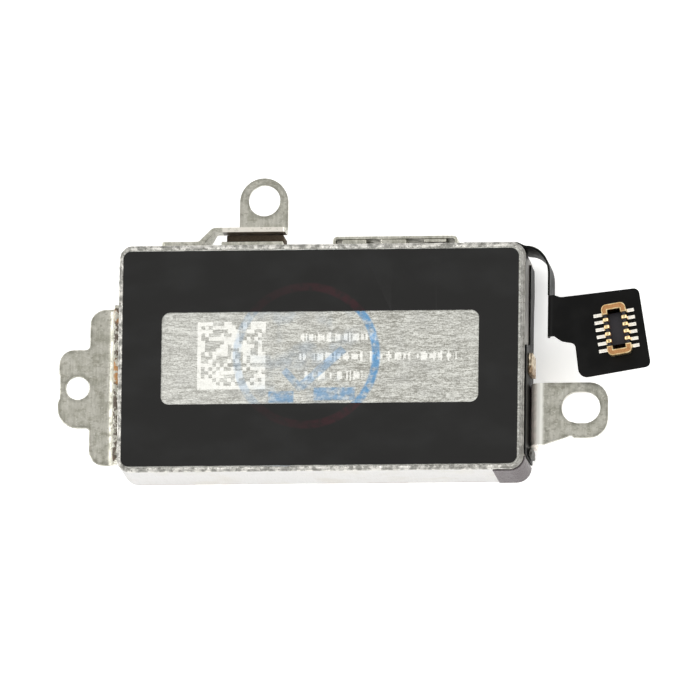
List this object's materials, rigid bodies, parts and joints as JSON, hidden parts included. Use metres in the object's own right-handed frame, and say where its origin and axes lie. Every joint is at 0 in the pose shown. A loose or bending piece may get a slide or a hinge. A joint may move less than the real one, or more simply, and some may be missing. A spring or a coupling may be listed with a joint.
{
  "type": "linear haptic actuator",
  "caption": "Flat rectangular linear vibration motor with a sprung sliding mass, three screw ears and a short flex tail ending in a board plug",
  "frame": {"origin": "centre of the flat underside of the can", "axes": "+X along the can towards the plug, +Y towards the ring ear on the rear wall, +Z out of the film side"},
  "size_m": [0.0329, 0.0168, 0.0042],
  "materials": {
    "can_steel": "drawn, bright, fine grain",
    "cover_steel": "brushed along the length",
    "black_film": "satin black film",
    "nickel_plate": "nickel plated sheet, tumbled",
    "grey_foil": "grey mirror foil",
    "flex_black": "black coverlay",
    "gold_plate": "gold plated",
    "glue_black": "cured black epoxy",
    "stiffener_steel": "rolled sheet",
    "housing_black": "moulded black polymer",
    "coil_copper": "enamelled copper winding",
    "coil_flex_amber": "polyimide film",
    "chip_black": "moulded chip package",
    "stop_rubber": "soft rubber",
    "tungsten": "sintered tungsten alloy",
    "magnet_nickel": "nickel plated magnet",
    "yoke_steel": "plain rolled steel",
    "spring_steel": "spring steel strip"
  },
  "bodies": {
    "can": {"can_shell": "can_steel", "cover_plate": "cover_steel", "insulating_film": "black_film", "left_bracket": "nickel_plate", "right_bracket": "nickel_plate", "rear_bracket": "nickel_plate", "rear_backing_plate": "nickel_plate", "rear_guard_channel": "nickel_plate", "rear_lug_1": "nickel_plate", "rear_lug_2": "nickel_plate", "rear_lug_3": "nickel_plate", "corner_patch": "grey_foil", "wall_flex_strip": "flex_black", "solder_pad_1": "gold_plate", "solder_pad_2": "gold_plate", "glue_bead": "glue_black", "flex_tail": "flex_black", "flex_fold": "flex_black", "coil_flex": "coil_flex_amber", "coil_left": "coil_copper", "coil_right": "coil_copper", "position_sensor": "chip_black", "left_stop": "stop_rubber", "right_stop": "stop_rubber", "left_leaf_spring": "spring_steel", "right_leaf_spring": "spring_steel", "left_wall_clamp": "spring_steel", "right_wall_clamp": "spring_steel"},
    "carriage": {"mass_frame": "tungsten", "magnet_left": "magnet_nickel", "magnet_centre": "magnet_nickel", "magnet_right": "magnet_nickel", "yoke_plate": "yoke_steel", "left_mass_clamp": "spring_steel", "right_mass_clamp": "spring_steel"},
    "plug": {"plug_board": "flex_black", "plug_stiffener": "stiffener_steel", "plug_housing": "housing_black", "contact_left_1": "gold_plate", "contact_left_2": "gold_plate", "contact_left_3": "gold_plate", "contact_left_4": "gold_plate", "contact_right_1": "gold_plate", "contact_right_2": "gold_plate", "contact_right_3": "gold_plate", "contact_right_4": "gold_plate", "power_terminal_rear": "gold_plate", "power_terminal_front": "gold_plate", "power_tail_1": "gold_plate", "power_tail_2": "gold_plate", "power_tail_3": "gold_plate", "power_tail_4": "gold_plate"}
  },
  "joints": [
    {"name": "carriage_slide", "type": "slide", "parent": "can", "child": "carriage", "axis": [1, 0, 0], "range_m": [-0.0006, 0.0006], "stiffness_N_per_m": 600, "deforming": ["left_leaf_spring", "right_leaf_spring"]},
    {"name": "plug_fold", "type": "hinge", "parent": "can", "child": "plug", "pos_m": [0.0128, 0.0023, 0.00324], "axis": [0, -1, 0], "range_deg": [-30, 90], "stiffness_Nm_per_rad": 0.00006, "deforming": ["flex_fold"]}
  ]
}
